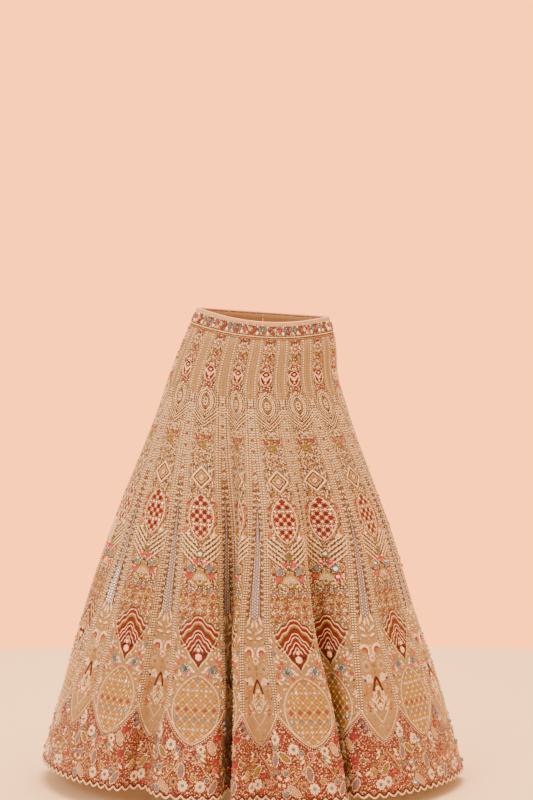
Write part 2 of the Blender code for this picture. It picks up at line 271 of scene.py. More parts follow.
def worked_net(name, ground, shade, between, seeds):
    """Net covered with seed beads and knots, which thin out where the cloth is left plain. Where it is worked,
    the net between the beads is darkened by painted shade.
    """
    material = start_material(name, ground, 0.6, Sheen_Weight=0.15)
    tree = material.node_tree
    shader = tree.nodes["Principled BSDF"]
    cut = add_node(tree, "ShaderNodeUVMap", uv_map="cut").outputs["UV"]
    worked_and_shaded = add_node(tree, "ShaderNodeAttribute", attribute_name="worked_and_shaded").outputs["Fac"]
    net = add_node(tree, "ShaderNodeTexVoronoi", {"Vector": cut, "Scale": 1 / NET_PITCH},
                   feature="DISTANCE_TO_EDGE", voronoi_dimensions="2D")
    holes = add_node(tree, "ShaderNodeMapRange",
                     {"Value": net.outputs["Distance"], "From Min": 0.05, "From Max": 0.3})
    plain = add_node(tree, "ShaderNodeMix", {"Factor": holes.outputs["Result"], "A": linear(ground),
                                             "B": linear(shade)}, data_type="RGBA")
    # Painted shade: the worked net is darkened towards the between colour, where close beads would shade it
    painted_shade_ground = add_node(tree, "ShaderNodeMix",
                    {"Factor": worked_and_shaded, "A": plain.outputs["Result"], "B": linear(between)}, data_type="RGBA")
    # Seed beads: each cell is one, in a thread or bead colour picked by the cell
    cells = add_node(tree, "ShaderNodeTexVoronoi", {"Vector": cut, "Scale": 1 / BEAD_PITCH},
                     voronoi_dimensions="2D")
    pick = add_node(tree, "ShaderNodeSeparateColor", {"Color": cells.outputs["Color"]})
    seeded = colour_steps(tree, pick.outputs["Red"], seeds)
    bead = add_node(tree, "ShaderNodeMapRange",
                    {"Value": cells.outputs["Distance"], "From Min": 0.46, "From Max": 0.34})
    dense = add_node(tree, "ShaderNodeMath", {0: pick.outputs["Green"], 1: worked_and_shaded}, operation="LESS_THAN")
    cover = add_node(tree, "ShaderNodeMath", {0: bead.outputs["Result"], 1: dense.outputs["Value"]},
                     operation="MULTIPLY")
    both = add_node(tree, "ShaderNodeMix", {"Factor": cover.outputs["Value"], "A": painted_shade_ground.outputs["Result"],
                                            "B": seeded}, data_type="RGBA")
    soft = add_node(tree, "ShaderNodeTexNoise", {"Vector": cut, "Scale": 1 / 0.03, "Detail": 3.0})
    waver = add_node(tree, "ShaderNodeMapRange", {"Value": soft.outputs["Fac"], "To Min": 0.8, "To Max": 1.2})
    lit = add_node(tree, "ShaderNodeHueSaturation",
                   {"Color": both.outputs["Result"], "Value": waver.outputs["Result"]})
    tree.links.new(lit.outputs["Color"], shader.inputs["Base Color"])
    height = add_node(tree, "ShaderNodeMath", {0: holes.outputs["Result"], 1: 0.2, 2: cover.outputs["Value"]},
                      operation="MULTIPLY_ADD")
    bump = add_node(tree, "ShaderNodeBump",
                    {"Height": height.outputs["Value"], "Distance": 0.0011, "Strength": 0.8})
    tree.links.new(bump.outputs["Normal"], shader.inputs["Normal"])
    return material


tan_net = worked_net(
    "embroidered_tan_net", NET_TAN, NET_SHADE, NET_PAINTED_SHADE,
    [(0.0, THREAD_CREAM), (0.34, THREAD_GOLD), (0.60, "6A4828"), (0.74, "FAF0E2"), (0.86, "8E5A42"),
     (0.93, "4E1C10")],
)
net_backing = start_material("woven_backing_beige", BACKING_BEIGE, 0.7, Sheen_Weight=0.15)


def put(name, data):
    """An object with that mesh, curve, lamp or camera, put in the scene."""
    made = bpy.data.objects.new(name, data)
    bpy.context.scene.collection.objects.link(made)
    return made


def hang(name, position, drop, middle, worked_and_shaded, thickness, face):
    """A cut piece as a wall of cloth. Position and drop are grids, in rows from the top."""
    rows, columns = position.shape
    points = cloth.place(position, drop).reshape(-1, 3)
    at = np.arange(rows * columns).reshape(rows, columns)
    faces = np.stack([at[:-1, :-1], at[1:, :-1], at[1:, 1:], at[:-1, 1:]], axis=-1).reshape(-1, 4)
    mesh = bpy.data.meshes.new(name)
    mesh.from_pydata(points.tolist(), [], faces.tolist())
    flat = np.stack([(position - middle) * cloth.pair(drop), -drop], axis=-1).reshape(-1, 2)
    layer = mesh.uv_layers.new(name="cut")
    layer.data.foreach_set("uv", flat[faces.ravel()].astype(np.float32).ravel())
    # How densely the net is worked, which also sets how much painted shade it gets between the beads
    share = mesh.attributes.new("worked_and_shaded", "FLOAT", "POINT")
    share.data.foreach_set("value", worked_and_shaded.astype(np.float32).ravel())
    mesh.materials.append(face)
    mesh.materials.append(net_backing)
    mesh.shade_smooth()
    piece = put(name, mesh)
    wall = piece.modifiers.new("wall", "SOLIDIFY")
    wall.thickness = thickness
    wall.offset = -1.0
    wall.material_offset = 1
    wall.use_even_offset = True
    bpy.ops.object.select_all(action="DESELECT")
    bpy.context.view_layer.objects.active = piece
    bpy.ops.object.modifier_apply(modifier="wall")
    return piece


def gore_half(wide, drop):
    """Half of a gore's width at a drop."""
    share = smooth_read(CUTS, "wide_share", drop)
    return (share if wide else 1 - share) / 2 * cloth.pair(drop)


def gore_grid(middle, wide, columns):
    """Cloth positions and drops of a gore's points, and how far in from the seams each is."""
    across = np.tile(np.linspace(0.0, 1.0, columns + 1), (GORE_ROWS + 1, 1))
    top = BAND_HEIGHT + EDGE_GAP / 2
    end = ogee(1 - np.abs(2 * across - 1)) - OGEE_GAP / 2
    drop = top + (end - top) * np.linspace(0.0, 1.0, GORE_ROWS + 1)[:, None]
    half = gore_half(wide, drop) - SEAM_GAP / 2
    edge = (0.5 - np.abs(across - 0.5)) * 2 * gore_half(wide, drop)
    return middle + (2 * across - 1) * half / cloth.pair(drop), drop, edge


def modelled(object_):
    """The corners and triangles of a modelled shape, which is then put away."""
    mesh = object_.data
    mesh.calc_loop_triangles()
    points = np.array([v.co[:] for v in mesh.vertices])
    triangles = np.array([t.vertices[:] for t in mesh.loop_triangles])
    bpy.data.objects.remove(object_)
    return points, triangles


def change_faces(side, change, **settings):
    """Changes the faces that look up (1) or down (-1)."""
    bpy.ops.object.mode_set(mode="EDIT")
    bpy.ops.mesh.select_mode(type="FACE")
    bpy.ops.mesh.select_all(action="DESELECT")
    bpy.ops.object.mode_set(mode="OBJECT")
    for face in bpy.context.object.data.polygons:
        face.select = face.normal.z * side > 0.9
    bpy.ops.object.mode_set(mode="EDIT")
    change(**settings)
    bpy.ops.object.mode_set(mode="OBJECT")


def standing(sides, top_radius, height=1.0, point=0.0):
    """A bead or stone as it stands out of the cloth, one unit wide and open below. Point raises its top."""
    bpy.ops.object.select_all(action="DESELECT")
    bpy.ops.mesh.primitive_cone_add(vertices=sides, radius1=0.5, radius2=top_radius, depth=height,
                                    location=(0, 0, height / 2))
    bpy.ops.object.transform_apply(location=True)
    if point:
        change_faces(1, bpy.ops.mesh.poke, offset=point)
    change_faces(-1, bpy.ops.mesh.delete, type="FACE")
    return modelled(bpy.context.object)


def padded(across, along):
    """A shape with a raised middle and eight corners. Its diagonal corners are drawn in across and along."""
    bpy.ops.object.select_all(action="DESELECT")
    bpy.ops.mesh.primitive_circle_add(vertices=8, radius=0.5, fill_type="TRIFAN")
    for point in bpy.context.object.data.vertices:
        x, y = abs(point.co.x), abs(point.co.y)
        if max(x, y) < 0.1:
            point.co.z = 1.0
        elif min(x, y) > 0.1:
            point.co.x *= across
            point.co.y *= along
    return modelled(bpy.context.object)


SEED = standing(5, 0.0)
ROUND = standing(6, 0.36, height=0.62, point=0.38)  # a larger bead with a waist, for pearls and knots
STONE = standing(8, 0.27)  # glass, with a flat table and eight sloping facets
DIAMOND = standing(4, 0.2)
PETAL = padded(0.82, 1.0)  # a petal or leaf in satin stitch, lying along Y
STAR = padded(0.45, 0.45)  # fills the gap between four petals

STITCH = 0.004  # over which a thread's colour is even
needle_finishes = []


def needle_finish(name, colour, roughness=0.5, metallic=0.0, coat=0.0):
    """Thread, zari, pearl or foil-backed glass, each stitch a little different. Gives the finish's number."""
    material = start_material(name, colour, roughness, Metallic=metallic, Coat_Weight=coat,
                              Sheen_Weight=0.0 if coat else 0.1, Specular_IOR_Level=0.5 if coat else 0.3)
    tree = material.node_tree
    place = add_node(tree, "ShaderNodeTexCoord").outputs["Object"]
    cells = add_node(tree, "ShaderNodeTexVoronoi", {"Vector": place, "Scale": 1 / STITCH})
    split = add_node(tree, "ShaderNodeSeparateColor", {"Color": cells.outputs["Color"]})
    shade = add_node(tree, "ShaderNodeMapRange",
                     {"Value": split.outputs["Red"], "To Min": 0.78, "To Max": 1.16})
    tint = add_node(tree, "ShaderNodeHueSaturation",
                    {"Color": linear(colour), "Value": shade.outputs["Result"]})
    tree.links.new(tint.outputs["Color"], tree.nodes["Principled BSDF"].inputs["Base Color"])
    needle_finishes.append(material)
    return len(needle_finishes) - 1


CREAM = needle_finish("cream_thread", "ECD8BC")
ZARI = needle_finish("gold_zari", "AC8450", 0.34, 0.5)
GOLD_SATIN = needle_finish("gold_satin", "8C6E3C")
STRAW = needle_finish("straw_thread", "BE9C72")
PEARL = needle_finish("pearl", "F8ECDA", 0.15, 0.0, 0.7)
BROWN = needle_finish("brown_thread", "4E2C14", 0.6)
RUST = needle_finish("rust_thread", "700C05", 0.55)
WINE = needle_finish("wine_thread", "4E060A", 0.55)
ROSE = needle_finish("rose_thread", "86342E", 0.55)
MAUVE = needle_finish("mauve_thread", "7E6C74")
OLIVE = needle_finish("olive_thread", "82702C")
PINK_SATIN = needle_finish("pink_satin", "9C0E34", 0.45)
PINK = needle_finish("pink_glass", "BC1E42", 0.08, 0.25, 1.0)
CLEAR = needle_finish("clear_glass", "DCD0C6", 0.06, 0.55, 1.0)
ICE = needle_finish("ice_glass", "6A7E9E", 0.08, 0.45, 1.0)
BLUE = needle_finish("blue_glass", "2C4284", 0.08, 0.3, 1.0)
OLIVE_GLASS = needle_finish("olive_glass", "66663A", 0.08, 0.4, 1.0)
AMBER = needle_finish("amber_glass", "BC6C22", 0.08, 0.35, 1.0)
YELLOW = needle_finish("yellow_glass", "AC8E2C", 0.1, 0.35, 1.0)
FIRST_GLASS = PINK  # from here on the facets stay sharp


class Needlework:
    """Beads, stones, petals and cords laid out flat: metres from the piece's middle, and below the waist.

    A mirrored piece has the same on both halves, but for what lies on its centre line.
    """

    GRAIN = 0.001  # of the maps of what is covered and padded
    SINK = 0.0002  # depth of each stitch in the net

    def __init__(self, half_width, length, seed=0, mirrored=True):
        self.points, self.faces, self.finishes, self.size = [], [], [], 0
        self.origin = half_width
        self.chance = np.random.default_rng(seed)
        self.mirrored = mirrored
        self.covered = np.zeros((int(length / self.GRAIN) + 2, int(2 * half_width / self.GRAIN) + 2),
                                dtype=bool)
        self.padding = np.zeros(self.covered.shape)

    def lay(self, points, faces, finish, both):
        """Keeps a flat mesh, and its mirror image on the other half if both."""
        for sign in (1, -1) if both else (1,):
            self.points.append(points * (sign, 1.0, 1.0))
            self.faces.append((faces[:, ::-1] if sign > 0 else faces) + self.size)
            self.finishes.append(np.full(len(faces), finish))
            self.size += len(points)

    def base(self, u, v):
        """Height of the satin padding at each place."""
        row = np.clip((v / self.GRAIN).astype(int), 0, self.padding.shape[0] - 1)
        column = np.clip(((u + self.origin) / self.GRAIN).astype(int), 0, self.padding.shape[1] - 1)
        return self.padding[row, column]

    def mark(self, u, v, radius):
        """Marks discs as covered, on both halves."""
        reach = int(np.ceil(np.max(radius) / self.GRAIN))
        rows, columns = self.covered.shape
        for dv in range(-reach, reach + 1):
            for du in range(-reach, reach + 1):
                inside = np.hypot(du, dv) * self.GRAIN <= radius
                r = np.clip((v[inside] / self.GRAIN + dv).astype(int), 0, rows - 1)
                for sign in (1, -1):
                    c = ((sign * u[inside] + self.origin) / self.GRAIN + du).astype(int)
                    self.covered[r, np.clip(c, 0, columns - 1)] = True

    def sew(self, shape, u, v, size, finish, turn=0.0, both=None, height=None):
        """Sews a shape at each place. Size is its width and length, or one number for a round shape."""
        u, v, turn = np.broadcast_arrays(np.atleast_1d(np.asarray(u, float)), v, turn)
        if len(u) == 0:
            return
        both = self.mirrored and not np.any(u == 0) if both is None else both
        width, length = size if isinstance(size, tuple) else (size, size)
        points, faces = shape
        high = min(width, length) * 0.42 if height is None else height
        x, y = points[:, 0] * width, points[:, 1] * length
        cos, sin = np.cos(turn)[:, None], np.sin(turn)[:, None]
        flat = np.stack([u[:, None] + x * cos - y * sin, v[:, None] + x * sin + y * cos,
                         self.base(u, v)[:, None] + points[:, 2] * high], axis=-1)
        grown = faces[None] + (np.arange(len(u)) * len(points))[:, None, None]
        self.lay(flat.reshape(-1, 3), grown.reshape(-1, 3), finish, both)
        self.mark(u, v, np.full(len(u), max(min(width, length), 0.6 * max(width, length)) / 2))

    def string(self, line, pitch, size, finish, both=None, shape=SEED):
        """Sews beads along a line."""
        places = spaced(line, pitch)
        both = self.mirrored if both is None else both
        self.sew(shape, places[:, 0], places[:, 1], size, finish, both=both)

    def couch(self, line, width, finish, both=None, step=0.005, height=None):
        """Couches a cord along a line, with two sloping sides and a ridge."""
        line = spaced(line, step)
        along = np.gradient(line, axis=0)
        along /= np.linalg.norm(along, axis=1, keepdims=True)
        aside = np.stack([-along[:, 1], along[:, 0]], axis=1) * width / 2
        high = width * 0.45 if height is None else height
        n = len(line)
        under = self.base(line[:, 0], line[:, 1])
        rails = (line + aside, under), (line, under + high), (line - aside, under)
        points = np.concatenate([np.column_stack(rail) for rail in rails])
        at = np.concatenate([np.arange(n - 1), np.arange(n, 2 * n - 1)])
        quads = np.stack([at, at + n, at + n + 1, at + 1], axis=1)
        faces = np.concatenate([quads[:, [0, 2, 1]], quads[:, [0, 3, 2]]])
        self.lay(points, faces, finish, self.mirrored if both is None else both)
        self.mark(line[:, 0], line[:, 1], np.full(n, width / 2))

    def patch(self, side, finish, height):
        """Fills an outline with padded satin stitch. Side is its right half, from top to bottom."""
        across = np.linspace(-1.0, 1.0, 9)
        u = side[:, :1] * across
        v = np.broadcast_to(side[:, 1:], u.shape)
        high = np.where(np.abs(across) < 1, height, 0.0) * np.ones_like(u)
        at = np.arange(u.size).reshape(u.shape)
        quads = np.stack([at[:-1, :-1], at[:-1, 1:], at[1:, 1:], at[1:, :-1]], axis=-1).reshape(-1, 4)
        faces = np.concatenate([quads[:, [0, 1, 2]], quads[:, [0, 2, 3]]])
        self.lay(np.stack([u, v, high], axis=-1).reshape(-1, 3), faces, finish, False)
        row = np.arange(int(side[0, 1] / self.GRAIN) + 1, int(side[-1, 1] / self.GRAIN))
        half = np.interp(row * self.GRAIN, side[:, 1], side[:, 0])[:, None]
        column = np.arange(self.padding.shape[1]) * self.GRAIN - self.origin
        self.padding[row] = np.where(np.abs(column) < half, height, self.padding[row])

    def free_places(self, area, size, tries, most=None):
        """Picks up to most places where a shape of that size still fits, and marks them as covered.

        An area is given by two corners and a test of what is inside it.
        """
        (left, upper), (right, lower), inside = area
        u = self.chance.uniform(left, right, tries)
        v = self.chance.uniform(upper, lower, tries)
        keep = inside(u, v)
        reach = int(round(size / 2 / self.GRAIN))
        rows, columns = self.covered.shape
        chosen = []
        for x, y in zip(u[keep], v[keep]):
            r, c = int(y / self.GRAIN), int((x + self.origin) / self.GRAIN)
            if not (reach <= r < rows - reach and reach <= c < columns - reach):
                continue
            if self.covered[r - reach : r + reach + 1, c - reach : c + reach + 1].any():
                continue
            chosen.append((x, y))
            for side in (1, -1) if self.mirrored else (1,):
                c = int((side * x + self.origin) / self.GRAIN)
                self.covered[r - reach : r + reach + 1, max(c - reach, 0) : c + reach + 1] = True
            if len(chosen) == most:
                break
        return np.array(chosen).reshape(-1, 2)

    def fill(self, area, size, finishes, tries, shape=SEED):
        """Sews shapes into what is still free, each with a finish picked by weight and turned at random."""
        places = self.free_places(area, size, tries)
        weights = np.array(list(finishes.values()))
        pick = self.chance.choice(len(weights), len(places), p=weights / weights.sum())
        turn = self.chance.uniform(0, math.pi, len(places))
        for k, finish in enumerate(finishes):
            some = places[pick == k]
            self.sew(shape, some[:, 0], some[:, 1], size, finish, turn[pick == k])

    def drape(self, name, middle, pair=None):
        """Makes the needlework one mesh, lying on the hanging cloth. Pair is a pair's width, if it is even."""
        flat, faces = np.concatenate(self.points), np.concatenate(self.faces)
        finishes = np.concatenate(self.finishes)
        u, drop, height = flat.T
        position = middle + u / (cloth.pair(drop) if pair is None else pair)
        points = cloth.place(position, drop, height - self.SINK)
        used = sorted(set(finishes.tolist()))
        mesh = bpy.data.meshes.new(name)
        mesh.from_pydata(points.tolist(), [], faces.tolist())
        for k in used:
            mesh.materials.append(needle_finishes[k])
        mesh.polygons.foreach_set("material_index", np.searchsorted(used, finishes).astype(np.int32))
        mesh.polygons.foreach_set("use_smooth", finishes < FIRST_GLASS)
        mesh.update()
        return put(name, mesh)


def hang_sheet(node_name, middle, position, drop, worked_and_shaded, wall, face, work):
    """A hung sheet and its needlework ride on the body, and the sheet takes its solid's place."""
    sheet = hang(f"{node_name}_cloth", position, drop, middle, worked_and_shaded, wall, face)
    sewn = work.drape(f"{node_name}_needlework", middle)
    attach(sheet, "root")
    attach(sewn, "root")
    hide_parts(node_name)


def spaced(line, pitch):
    """Points along a line, at an even pitch."""
    line = np.asarray(line, float)
    run = np.concatenate(([0.0], np.cumsum(np.linalg.norm(np.diff(line, axis=0), axis=1))))
    at = np.linspace(0.0, run[-1], max(2, int(round(run[-1] / pitch)) + 1))
    return np.column_stack([np.interp(at, run, line[:, k]) for k in (0, 1)])


def lens(middle, half_width, half_height, full=0.8, points=40):
    """The right side of a pointed oval, from its upper point to its lower one."""
    s = np.linspace(-1.0, 1.0, points)
    return np.column_stack([half_width * (1 - s * s) ** full, middle + half_height * s])


def ring(u, v, radius, points=16):
    """A circle."""
    turn = np.linspace(0, 2 * math.pi, points + 1)
    return np.column_stack([u + radius * np.cos(turn), v + radius * np.sin(turn)])


def seam_line(wide, inset, top, bottom, step=0.01):
    """A line that keeps its distance from a gore's seam."""
    drop = np.arange(top, bottom, step)
    return np.column_stack([gore_half(wide, drop) - inset, drop])


def flower(work, u, v, radius, petals, finish, heart):
    """Petals round a stone."""
    turn = np.arange(petals) * 2 * math.pi / petals
    reach = radius * 0.62
    work.sew(PETAL, u + reach * np.sin(turn), v - reach * np.cos(turn), (reach, radius * 0.8), finish, turn)
    work.sew(STONE, u, v, radius * 0.75, heart)


def stars(work, u, v, size, finish, height):
    """A row of stars: the one on the centre line is sewn once, the others on both halves."""
    for some in (u[u > 0], u[u == 0]):
        work.sew(STAR, some, v, size, finish, height=height)


def jaali(work, inside, pitch, top, bottom, half, glass, between, thread, broad=0.14):
    """A lattice of crossing circles: thread petals on the diagonals, with stars of glass between them."""
    for row, v in enumerate(np.arange(top, bottom, pitch / 2)):
        u = np.arange(0.0 if row % 2 == 0 else pitch / 2, half, pitch)
        finish = glass[row // 2 % len(glass)] if row % 2 == 0 else between
        stars(work, u[inside(u, v)], v, pitch * 0.62, finish, 0.0012)
        for side in (1, -1):
            at = u + side * pitch / 4
            keep = inside(at, v + pitch / 4) & (at > 0)
            work.sew(PETAL, at[keep], v + pitch / 4, (pitch * broad, pitch * 0.68), thread, side * math.pi / 4)


def crossings(work, inside, pitch, top, bottom, half, size, height):
    """Cream stars where a lattice's petals cross."""
    for row, v in enumerate(np.arange(top, bottom, pitch / 2)):
        u = np.arange(pitch / 2 if row % 2 == 0 else 0.0, half, pitch)
        stars(work, u[inside(u, v)], v, size, CREAM, height)


def edge_lines(work, wide, top, points):
    """Pearls on a flat brown cord beside the seams, and a cream cord and zari knots along the pointed end."""
    seam = seam_line(wide, 0.0034, top, BORDER_PEAK)
    work.couch(seam, 0.005, BROWN, step=0.012, height=0.0004)
    work.string(seam, 0.0056, 0.0046, PEARL)
    share = np.linspace(0.0, 1.0, points)
    edge = np.column_stack([gore_half(wide, ogee(share)) * (1 - share), ogee(share)])
    work.couch(edge - (0.0, 0.0025), 0.002, CREAM, step=0.006)
    work.string(edge - (0.0, 0.0062), 0.0042, 0.0024, ZARI)


def wide_gore_needlework():
    """One wide gore's embroidery, which all sixteen carry."""
    work = Needlework(0.085, 0.95, 5)
    sew, string, couch, patch, fill = work.sew, work.string, work.couch, work.patch, work.fill
    top = BAND_HEIGHT + 0.004

    # Bead lines beside the seams and along the ogee
    edge_lines(work, True, top, 40)
    couch(seam_line(True, 0.008, top, BORDER_PEAK - 0.004), 0.0018, STRAW, step=0.012)
    string(seam_line(True, 0.0105, top, 0.62), 0.0052, 0.0022, STRAW)

    # Round boss of petals under the waistband, and sprigs below it
    for radius, petals, finish in ((0.0125, 12, CREAM), (0.0075, 8, ZARI)):
        turn = np.arange(petals) * 2 * math.pi / petals
        sew(PETAL, radius * 0.8 * np.sin(turn), 0.058 - radius * 0.8 * np.cos(turn), (0.0034, 0.0055), finish,
            turn, both=False)
    sew(ROUND, 0, 0.058, 0.0045, PEARL)
    for v, reach, lean in ((0.078, 0.007, 0.9), (0.085, 0.01, 1.2), (0.092, 0.006, 0.7)):
        sew(PETAL, reach, v, (0.003, 0.008), OLIVE, lean)
    sew(STONE, 0.0065, 0.098, 0.0052, PINK)
    sew(STONE, 0, 0.094, 0.004, CLEAR)

    # Small urn outlined in rust
    urn = lens(0.126, 0.0125, 0.017, 0.62)
    patch(urn, RUST, 0.0005)
    couch(urn, 0.0022, CREAM, height=0.0016)
    for reach, v, lean in ((0, 0.128, 0), (0.0045, 0.126, 0.35), (0.008, 0.122, 0.75)):
        sew(PETAL, reach, v, (0.0042, 0.0125), CREAM, lean, height=0.0022)
    sew(PETAL, [0.0032, 0.0075], [0.112, 0.11], (0.0032, 0.0085), RUST, [0.15, 0.6], height=0.0024)
    sew(STONE, [0.0058, 0], [0.152, 0.146], 0.006, PINK, both=True)
    sew(PETAL, 0.013, 0.146, (0.0036, 0.01), BROWN, -0.6)

    # Oval boss of gold and white, with contour lines round it
    patch(lens(0.189, 0.0175, 0.0275, 0.62), BROWN, 0.0003)
    for k, finish in enumerate((CREAM, PEARL, ZARI, PEARL)):
        line = lens(0.189, 0.0168 - 0.0041 * k, 0.027 - 0.0058 * k, 0.62)
        string(line, 0.0043, 0.004, finish)
    sew(STONE, 0, [0.181, 0.189, 0.197], 0.0066, CLEAR, height=0.003)
    for k, finish in enumerate((BROWN, CREAM, BROWN, ZARI, BROWN)):
        line = lens(0.189, 0.02 + 0.0026 * k, 0.0305 + 0.003 * k, 0.8)[6:-2]
        if finish == BROWN:
            couch(line, 0.0022, finish)
        else:
            string(line, 0.0038, 0.0032, finish)

    # Rays and a triangle of stones over a leaf
    for k in range(6):
        ray = [(0.0015, 0.2285 + 0.0036 * k), (0.031, 0.201 + 0.0042 * k)]
        if k % 2:
            couch(ray, 0.002, BROWN)
        else:
            string(ray, 0.0044, 0.0036, CREAM, shape=ROUND)
    sew(STONE, 0, 0.2525, 0.008, CLEAR, height=0.003)
    sew(STONE, 0.0062, 0.261, 0.0076, CLEAR, height=0.003)
    sew(STONE, 0.0125, 0.27, 0.008, PINK, height=0.003)
    sew(STONE, 0, 0.2705, 0.008, YELLOW, height=0.003)
    sew(PETAL, 0.006, 0.284, (0.0066, 0.0145), OLIVE, -0.5, height=0.002)
    sew(PETAL, 0, 0.287, (0.0058, 0.015), OLIVE, height=0.0024)
    for k in range(4):
        line = lens(0.262, 0.021 + 0.0048 * k, 0.03 + 0.004 * k, 0.62)[4:-4]
        string(line, 0.004, 0.0024, (CREAM, ZARI, PEARL, BROWN)[k])

    # Rows of beads, and nested lozenges with grey stones
    for k in range(5):
        v = 0.304 + 0.0062 * k
        string([(0, v + 0.004), (0.016, v - 0.004), (0.034, v + 0.003)], 0.0042, 0.0026, (CREAM, ZARI)[k % 2])
    sew(STONE, [0.014, 0.028], [0.333, 0.349], 0.0062, ICE)
    for k, finish in enumerate((CREAM, ZARI, STRAW, BROWN, PEARL, ZARI)):
        half = 0.0045 + 0.0046 * k
        couch([(0, 0.357 - half), (half, 0.357), (0, 0.357 + half)], 0.0034 if k % 2 == 0 else 0.002, finish,
              height=0.0014)
    sew(ROUND, 0.026, 0.378, 0.0062, ICE)

    # Medallion: a pointed oval of rust, a lattice of cream flowers on it, and lobes with stones at its sides
    medallion = lens(0.443, 0.0285, 0.049, 0.78)
    patch(medallion, RUST, 0.0004)

    def in_medallion(u, v):
        s = (v - 0.443) / 0.049
        return np.abs(u) < 0.0285 * np.maximum(1 - s * s, 0) ** 0.78 - 0.0035

    lattice = (0.018, 0.4045, 0.487, 0.03)
    jaali(work, in_medallion, *lattice, (RUST, CLEAR), WINE, STRAW, broad=0.09)
    crossings(work, in_medallion, *lattice, 0.01, 0.0024)
    string(medallion, 0.0036, 0.0038, CREAM)
    string(lens(0.443, 0.0318, 0.054, 0.78), 0.0042, 0.0024, ZARI)
    sew(PETAL, [0.0355, 0.0375, 0.0355], [0.432, 0.443, 0.454], (0.0052, 0.0085), RUST, [0.5, 0, -0.5])
    sew(STONE, 0.0335, 0.417, 0.0084, PINK, height=0.003)
    sew(STONE, 0.0375, 0.472, 0.0115, AMBER, height=0.0035)
    sew(ROUND, 0.0285, 0.48, 0.0075, PEARL)

    # Wavy ribs that run down to a large stone, with smaller stones and a fan below it
    for k in range(5):
        s = np.linspace(0, 1, 24)
        line = np.column_stack([0.006 + 0.043 * s, 0.503 + 0.0115 * k - (0.034 * s) + 0.0024 * np.sin(s * 38)])
        couch(line[: 24 if k else 18], 0.0036, CREAM, step=0.003, height=0.0018)
        couch(line + (0, 0.0042), 0.0022, BROWN, step=0.006)
    for u, v, size, finish in ((0, 0.5225, 0.0185, OLIVE_GLASS), (0.0105, 0.5385, 0.014, PINK),
                               (0.0215, 0.553, 0.016, ICE), (0.0265, 0.57, 0.014, PINK)):
        sew(ROUND, u, v, size + 0.0016, ZARI, height=0.0014)
        sew(STONE, u, v, size, finish, height=0.004)
    patch(lens(0.572, 0.02, 0.017, 0.5), OLIVE, 0.0003)
    turn = np.linspace(-1.35, 1.35, 13)
    sew(PETAL, 0.013 * np.sin(turn), 0.58 - 0.013 * np.cos(turn), (0.0017, 0.013), CREAM, turn, both=False)
    string(ring(0, 0.58, 0.0052), 0.003, 0.0026, PEARL, both=False)
    sew(ROUND, 0, 0.58, 0.006, OLIVE_GLASS)

    # Band of lattice
    def in_band(u, v):
        return np.abs(u) < gore_half(True, np.asarray(v)) - 0.014

    jaali(work, in_band, 0.0205, 0.6, 0.655, 0.06, (ICE, YELLOW, CLEAR), ROSE, ZARI)

    # Lotus of nested chevrons, rust and cream, on two rose roundels
    patch(np.array([(0, 0.655), (0.02, 0.664), (0.044, 0.69), (0.04, 0.704), (0.028, 0.722), (0.017, 0.743),
                    (0.007, 0.755), (0, 0.766)]), RUST, 0.0003)
    for apex, half, fall, width, finish in (
        (0.654, 0.046, 0.033, 0.0034, BROWN), (0.6575, 0.046, 0.034, 0.0034, CREAM),
        (0.6625, 0.045, 0.036, 0.0072, RUST), (0.6675, 0.0435, 0.0365, 0.0026, CREAM),
        (0.6712, 0.0425, 0.037, 0.0048, OLIVE), (0.675, 0.0415, 0.0375, 0.003, BROWN),
        (0.6802, 0.0405, 0.0385, 0.0084, RUST), (0.6858, 0.038, 0.0375, 0.0034, CREAM),
        (0.6895, 0.0345, 0.0355, 0.0044, WINE), (0.6935, 0.031, 0.0335, 0.0034, CREAM),
        (0.6995, 0.0265, 0.031, 0.0084, RUST), (0.7055, 0.022, 0.027, 0.0034, CREAM),
        (0.7105, 0.018, 0.024, 0.006, WINE), (0.7158, 0.0135, 0.02, 0.0034, CREAM),
    ):
        s = np.linspace(0, 1, 26)
        lobes = 0.0044 * (np.sin(s * math.pi * 2.5) ** 2 - 0.8 * s) * min(1.0, half / 0.035)
        line = np.column_stack([half * s, apex - 0.0012 + fall * s - lobes])
        if finish == CREAM:
            string(line, 0.0036, 0.004, CREAM)
        else:
            couch(line, width, finish, step=0.0035, height=0.0012)
    sew(ROUND, 0, 0.727, 0.009, CREAM)
    sew(ROUND, 0.0115, 0.7335, 0.0105, WINE)
    sew(ROUND, 0.0115, 0.7335, 0.0055, ROSE, height=0.0055)
    sew(ROUND, 0, 0.7415, 0.0165, CREAM, height=0.004)
    side = [(0.047, 0.69), (0.041, 0.706), (0.03, 0.722), (0.019, 0.745), (0.008, 0.756), (0, 0.768)]
    string(np.array(side) - (0, 0.001), 0.0038, 0.0042, CREAM)
    couch(np.array(side) - (0.0036, 0.0035), 0.003, BROWN, step=0.006)

